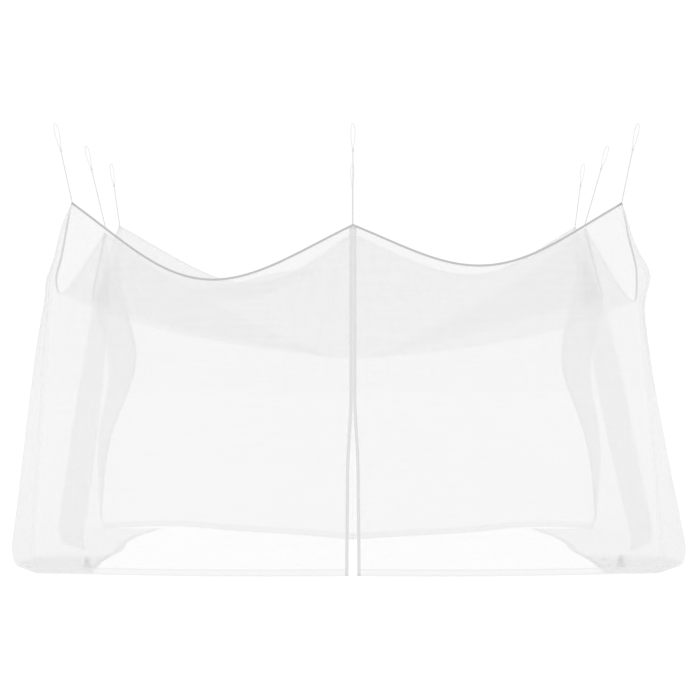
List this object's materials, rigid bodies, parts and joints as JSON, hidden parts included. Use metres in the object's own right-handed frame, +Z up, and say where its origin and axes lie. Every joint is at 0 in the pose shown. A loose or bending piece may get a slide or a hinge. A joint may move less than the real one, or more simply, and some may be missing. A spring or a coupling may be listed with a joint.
{
  "type": "gazebo mosquito net",
  "caption": "Hanging mosquito net for a gazebo: sheer mesh walls and a sagging mesh roof on a taped edge, with a parted door and hanging cords that end in loops.",
  "frame": {"origin": "on the floor, at the middle of the outline of the hem and the walls", "axes": "+Z up, -Y towards the front with the door, +X to the right as seen from the front"},
  "size_m": [3.9248, 3.4449, 2.488],
  "materials": {
    "mesh": "fine white mesh that is seen through",
    "tape": "matt woven tape",
    "cord": "matt twisted cord"
  },
  "bodies": {
    "root": {"roof": "mesh", "front_right_panel": "mesh", "right_wall": "mesh", "rear_wall": "mesh", "left_wall": "mesh", "front_left_panel": "mesh", "front_tape": "tape", "right_tape": "tape", "rear_tape": "tape", "left_tape": "tape", "left_door_tape": "tape", "right_door_tape": "tape", "front_middle_cord": "cord", "front_right_cord": "cord", "right_middle_cord": "cord", "rear_right_cord": "cord", "rear_middle_cord": "cord", "rear_left_cord": "cord", "left_middle_cord": "cord", "front_left_cord": "cord"}
  },
  "joints": []
}
